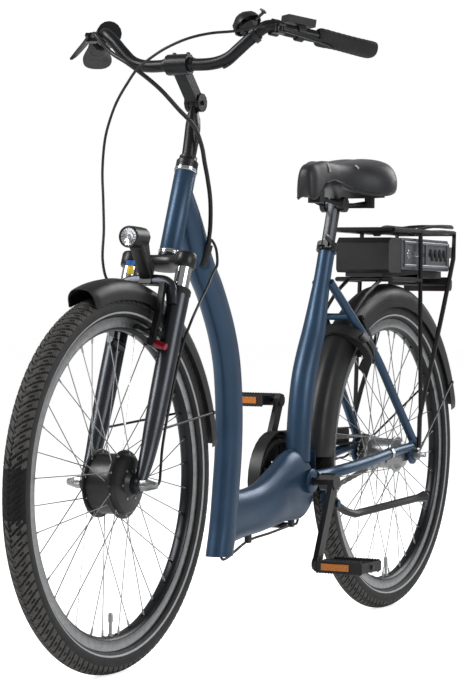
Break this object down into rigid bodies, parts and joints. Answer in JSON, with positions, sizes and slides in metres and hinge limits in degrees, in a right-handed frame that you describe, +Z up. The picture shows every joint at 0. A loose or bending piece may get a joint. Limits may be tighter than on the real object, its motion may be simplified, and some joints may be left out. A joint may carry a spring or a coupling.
{
  "type": "step through bike",
  "caption": "step-through city e-bike with front hub motor, rack battery, suspension fork, rim brakes, mudguards, lights, ring lock and kickstand",
  "frame": {"origin": "on the ground, in the middle of the bicycle's length and width", "axes": "+X forward along the bicycle, +Y to the rider's left, +Z up"},
  "size_m": [1.8108, 0.6208, 1.1597],
  "materials": {
    "frame_paint": "satin",
    "black_metal": "satin",
    "fork_grey": "satin",
    "brake_red": "satin",
    "dark_aluminium": "anodised",
    "rim": "anodised",
    "silver": "brushed",
    "steel": "brushed",
    "plastic": "matte",
    "lamp": "gloss",
    "battery": "satin",
    "tyre": "matte",
    "rubber": "matte",
    "saddle": "matte"
  },
  "bodies": {
    "frame": {"down_tube": "frame_paint", "lower_beam": "frame_paint", "seat_tube": "frame_paint", "chainstays": "frame_paint", "seatstays": "frame_paint", "seat_clamp": "black_metal", "rear_mudguard": "plastic", "rack_frame": "black_metal", "battery_dock": "plastic", "rear_light": "plastic", "ring_lock_case": "plastic", "chain_guard": "plastic", "chain": "steel", "rear_axle": "steel", "beam_cable": "rubber"},
    "steering": {"fork_upper": "black_metal", "stem_quill": "dark_aluminium", "control_cables": "rubber", "motor_cable": "rubber"},
    "bars": {"stem_head": "dark_aluminium", "handlebar": "dark_aluminium", "grip_left": "rubber", "grip_right": "rubber", "lever_mount_left": "black_metal", "lever_mount_right": "black_metal", "display": "plastic", "bell": "black_metal", "front_brake_cable": "rubber"},
    "lowers": {"fork_lowers": "fork_grey", "front_mudguard": "plastic", "headlight": "lamp", "front_axle": "steel"},
    "front_wheel": {"front_tyre": "tyre", "front_rim": "rim", "front_hub": "black_metal"},
    "rear_wheel": {"rear_tyre": "tyre", "rear_rim": "rim", "rear_hub": "silver"},
    "front_arm_left": {"front_brake_arm_left": "black_metal"},
    "front_arm_right": {"front_brake_arm_right": "brake_red"},
    "rear_arm_left": {"rear_brake_arm_left": "black_metal"},
    "rear_arm_right": {"rear_brake_arm_right": "black_metal"},
    "lever_left": {"brake_lever_left": "black_metal"},
    "lever_right": {"brake_lever_right": "black_metal"},
    "shifter": {"shifter_sleeve": "rubber"},
    "bell_lever": {"bell_lever": "black_metal"},
    "cranks": {"crank_left": "black_metal", "crank_right": "black_metal"},
    "sprocket": {"sprocket": "steel"},
    "pedal_left": {"pedal_left": "plastic"},
    "pedal_right": {"pedal_right": "plastic"},
    "kickstand": {"kickstand_leg": "black_metal"},
    "seatpost": {"seatpost": "dark_aluminium"},
    "saddle": {"saddle_cushion": "saddle", "saddle_base": "plastic"},
    "seat_clamp_lever": {"seat_clamp_lever": "black_metal"},
    "lock_bolt": {"ring_lock_bolt": "steel"},
    "rack_clamp": {"rack_clamp": "black_metal"},
    "battery": {"battery": "battery"}
  },
  "joints": [
    {"name": "steering", "type": "hinge", "parent": "frame", "child": "steering", "pos_m": [0.3313, 0, 0.87218], "axis": [-0.3502, 0, 0.9367], "range_deg": [-50, 50], "deforming": ["control_cables", "motor_cable"]},
    {"name": "stem_tilt", "type": "hinge", "parent": "steering", "child": "bars", "pos_m": [0.29622, 0, 1.00085], "axis": [0, 1, 0], "range_deg": [-20, 25], "deforming": ["front_brake_cable", "control_cables"]},
    {"name": "fork_travel", "type": "slide", "parent": "steering", "child": "lowers", "axis": [-0.3502, 0, 0.9367], "range_m": [0, 0.038], "stiffness_N_per_m": 5000, "springref_m": -0.04, "deforming": ["front_brake_cable", "motor_cable"]},
    {"name": "front_wheel", "type": "hinge", "parent": "lowers", "child": "front_wheel", "pos_m": [0.58021, 0, 0.3265], "axis": [0, 1, 0], "continuous": true},
    {"name": "rear_wheel", "type": "hinge", "parent": "frame", "child": "rear_wheel", "pos_m": [-0.55829, 0, 0.3265], "axis": [0, 1, 0], "continuous": true},
    {"name": "brake_lever_left", "type": "hinge", "parent": "bars", "child": "lever_left", "pos_m": [0.34638, 0.19594, 1.12091], "axis": [-0.1083, 0.0874, 0.9903], "range_deg": [0, 12], "stiffness_Nm_per_rad": 3, "springref_deg": -11.46},
    {"name": "brake_lever_right", "type": "hinge", "parent": "bars", "child": "lever_right", "pos_m": [0.34638, -0.19594, 1.12091], "axis": [0.1083, 0.0874, -0.9903], "range_deg": [0, 12], "stiffness_Nm_per_rad": 3, "springref_deg": -11.46},
    {"name": "front_brake_left", "type": "hinge", "parent": "lowers", "child": "front_arm_left", "pos_m": [0.51795, 0.04, 0.57012], "axis": [0.9367, 0, 0.3502], "range_deg": [0, 2.4]},
    {"name": "front_brake_right", "type": "hinge", "parent": "lowers", "child": "front_arm_right", "pos_m": [0.51795, -0.04, 0.57012], "axis": [-0.9367, 0, -0.3502], "range_deg": [0, 2.4]},
    {"name": "rear_brake_left", "type": "hinge", "parent": "frame", "child": "rear_arm_left", "pos_m": [-0.41606, 0.04, 0.53635], "axis": [0.7234, 0, -0.6904], "range_deg": [0, 2.4]},
    {"name": "rear_brake_right", "type": "hinge", "parent": "frame", "child": "rear_arm_right", "pos_m": [-0.41606, -0.04, 0.53635], "axis": [-0.7234, 0, 0.6904], "range_deg": [0, 2.4]},
    {"name": "shifter", "type": "hinge", "parent": "bars", "child": "shifter", "pos_m": [0.29215, -0.20323, 1.11959], "axis": [-0.7704, -0.6222, -0.1392], "range_deg": [-35, 35]},
    {"name": "bell_lever", "type": "hinge", "parent": "bars", "child": "bell_lever", "pos_m": [0.34282, 0.13075, 1.12732], "axis": [-0.1617, -0.6461, 0.7459], "range_deg": [-5, 20], "stiffness_Nm_per_rad": 0.05},
    {"name": "crank", "type": "hinge", "parent": "frame", "child": "cranks", "pos_m": [-0.14329, 0, 0.292], "axis": [0, 1, 0], "continuous": true},
    {"name": "sprocket", "type": "hinge", "parent": "frame", "child": "sprocket", "pos_m": [-0.55829, 0, 0.3265], "axis": [0, 1, 0], "continuous": true},
    {"name": "pedal_left", "type": "hinge", "parent": "cranks", "child": "pedal_left", "pos_m": [-0.07198, 0.148, 0.13768], "axis": [0, 1, 0], "continuous": true},
    {"name": "pedal_right", "type": "hinge", "parent": "cranks", "child": "pedal_right", "pos_m": [-0.21459, -0.148, 0.44632], "axis": [0, 1, 0], "continuous": true},
    {"name": "kickstand", "type": "hinge", "parent": "frame", "child": "kickstand", "pos_m": [-0.22329, 0.04, 0.243], "axis": [0.0994, -0.9938, -0.0497], "range_deg": [0, 122.25]},
    {"name": "seat_height", "type": "slide", "parent": "frame", "child": "seatpost", "axis": [-0.3256, 0, 0.9455], "range_m": [-0.05, 0.05]},
    {"name": "saddle_tilt", "type": "hinge", "parent": "seatpost", "child": "saddle", "pos_m": [-0.29559, 0, 0.8421], "axis": [0, 1, 0], "range_deg": [-10, 10]},
    {"name": "seat_clamp_lever", "type": "hinge", "parent": "frame", "child": "seat_clamp_lever", "pos_m": [-0.2464, 0.019, 0.76067], "axis": [-0.3256, 0, 0.9455], "range_deg": [0, 100]},
    {"name": "ring_lock", "type": "hinge", "parent": "frame", "child": "lock_bolt", "pos_m": [-0.34903, 0, 0.54701], "axis": [-0.7254, 0, 0.6884], "range_deg": [0, 74]},
    {"name": "rack_clamp", "type": "hinge", "parent": "frame", "child": "rack_clamp", "pos_m": [-0.59829, 0, 0.797], "axis": [0, 1, 0], "range_deg": [0, 60], "stiffness_Nm_per_rad": 1, "springref_deg": -28.65},
    {"name": "battery", "type": "slide", "parent": "frame", "child": "battery", "axis": [-1, 0, 0], "range_m": [0, 0.33]}
  ],
  "couplings": [
    {"joint": "front_brake_left", "follows": "brake_lever_left", "ratio": 0.2},
    {"joint": "front_brake_right", "follows": "brake_lever_left", "ratio": 0.2},
    {"joint": "rear_brake_left", "follows": "brake_lever_right", "ratio": 0.2},
    {"joint": "rear_brake_right", "follows": "brake_lever_right", "ratio": 0.2},
    {"joint": "sprocket", "follows": "crank", "ratio": 2.1111}
  ]
}
